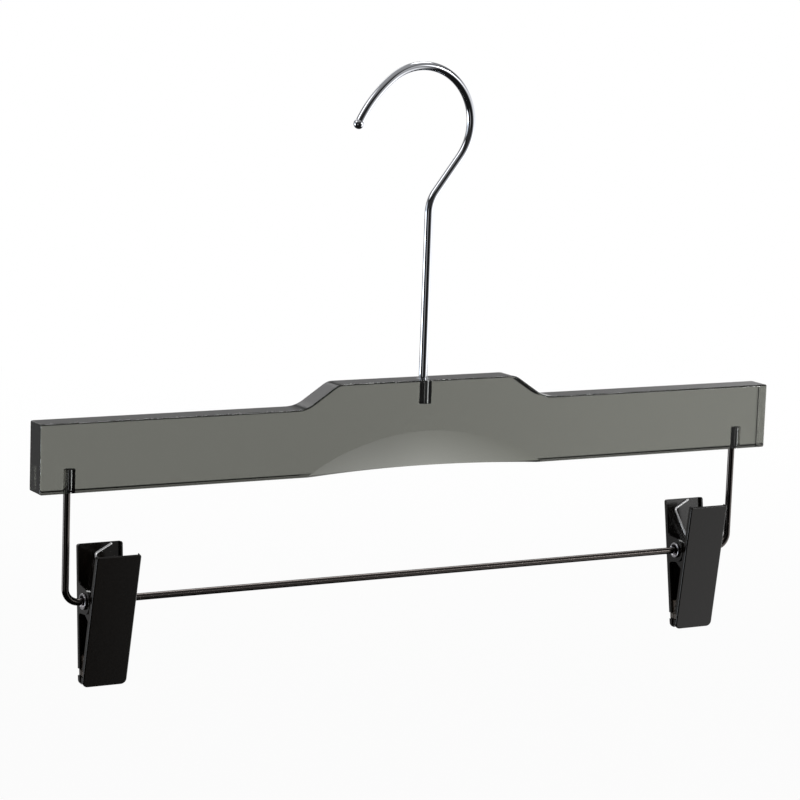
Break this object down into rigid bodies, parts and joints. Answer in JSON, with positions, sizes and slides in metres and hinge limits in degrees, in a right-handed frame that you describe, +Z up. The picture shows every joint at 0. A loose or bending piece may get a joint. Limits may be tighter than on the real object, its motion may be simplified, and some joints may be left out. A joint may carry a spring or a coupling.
{
  "type": "skirt hanger",
  "caption": "Skirt hanger: a clear smoke acrylic bar on a swivelling chrome hook, with a wire rod below it that carries sliding sprung clips.",
  "frame": {"origin": "rail seat: the point inside the hook's loop, straight above the stem, where it hangs on a rail", "axes": "+X along the bar to the right seen from the front, +Y to the back, +Z up"},
  "size_m": [0.356, 0.024, 0.2574],
  "materials": {
    "smoke_acrylic": "clear smoke-grey cast acrylic, polished",
    "bright_chrome": "polished",
    "dark_chrome": "polished black plating",
    "eyelet_steel": "nickel plated",
    "black_jaw": "satin black with a fine sparkle",
    "spring_steel": "drawn wire, nickel plated",
    "pad_rubber": "matt"
  },
  "bodies": {
    "hook": {"hook": "bright_chrome"},
    "bar": {"acrylic_bar": "smoke_acrylic", "hook_ferrule": "bright_chrome", "left_rod_ferrule": "bright_chrome", "right_rod_ferrule": "bright_chrome", "clip_rod": "dark_chrome"},
    "left_eyelet": {"left_eyelet": "eyelet_steel"},
    "left_rear_jaw": {"left_rear_jaw": "black_jaw", "left_rear_pad": "pad_rubber", "left_spring": "spring_steel"},
    "left_front_jaw": {"left_front_jaw": "black_jaw", "left_front_pad": "pad_rubber"},
    "right_eyelet": {"right_eyelet": "eyelet_steel"},
    "right_rear_jaw": {"right_rear_jaw": "black_jaw", "right_rear_pad": "pad_rubber", "right_spring": "spring_steel"},
    "right_front_jaw": {"right_front_jaw": "black_jaw", "right_front_pad": "pad_rubber"}
  },
  "joints": [
    {"name": "hook_swivel", "type": "hinge", "parent": "hook", "child": "bar", "pos_m": [0, 0, -0.131], "axis": [0, 0, 1], "continuous": true},
    {"name": "left_clip_slide", "type": "slide", "parent": "bar", "child": "left_eyelet", "axis": [1, 0, 0], "range_m": [-0.001, 0.134]},
    {"name": "left_clip_swing", "type": "hinge", "parent": "left_eyelet", "child": "left_rear_jaw", "pos_m": [-0.14565, 0, -0.2165], "axis": [1, 0, 0], "continuous": true},
    {"name": "left_clip_open", "type": "hinge", "parent": "left_rear_jaw", "child": "left_front_jaw", "pos_m": [-0.14565, 0, -0.2165], "axis": [-1, 0, 0], "range_deg": [0, 35], "stiffness_Nm_per_rad": 0.4, "springref_deg": -42.97, "deforming": ["left_spring"]},
    {"name": "right_clip_slide", "type": "slide", "parent": "bar", "child": "right_eyelet", "axis": [1, 0, 0], "range_m": [-0.1345, 0.0007]},
    {"name": "right_clip_swing", "type": "hinge", "parent": "right_eyelet", "child": "right_rear_jaw", "pos_m": [0.146, 0, -0.2165], "axis": [1, 0, 0], "continuous": true},
    {"name": "right_clip_open", "type": "hinge", "parent": "right_rear_jaw", "child": "right_front_jaw", "pos_m": [0.146, 0, -0.2165], "axis": [-1, 0, 0], "range_deg": [0, 35], "stiffness_Nm_per_rad": 0.4, "springref_deg": -42.97, "deforming": ["right_spring"]}
  ]
}
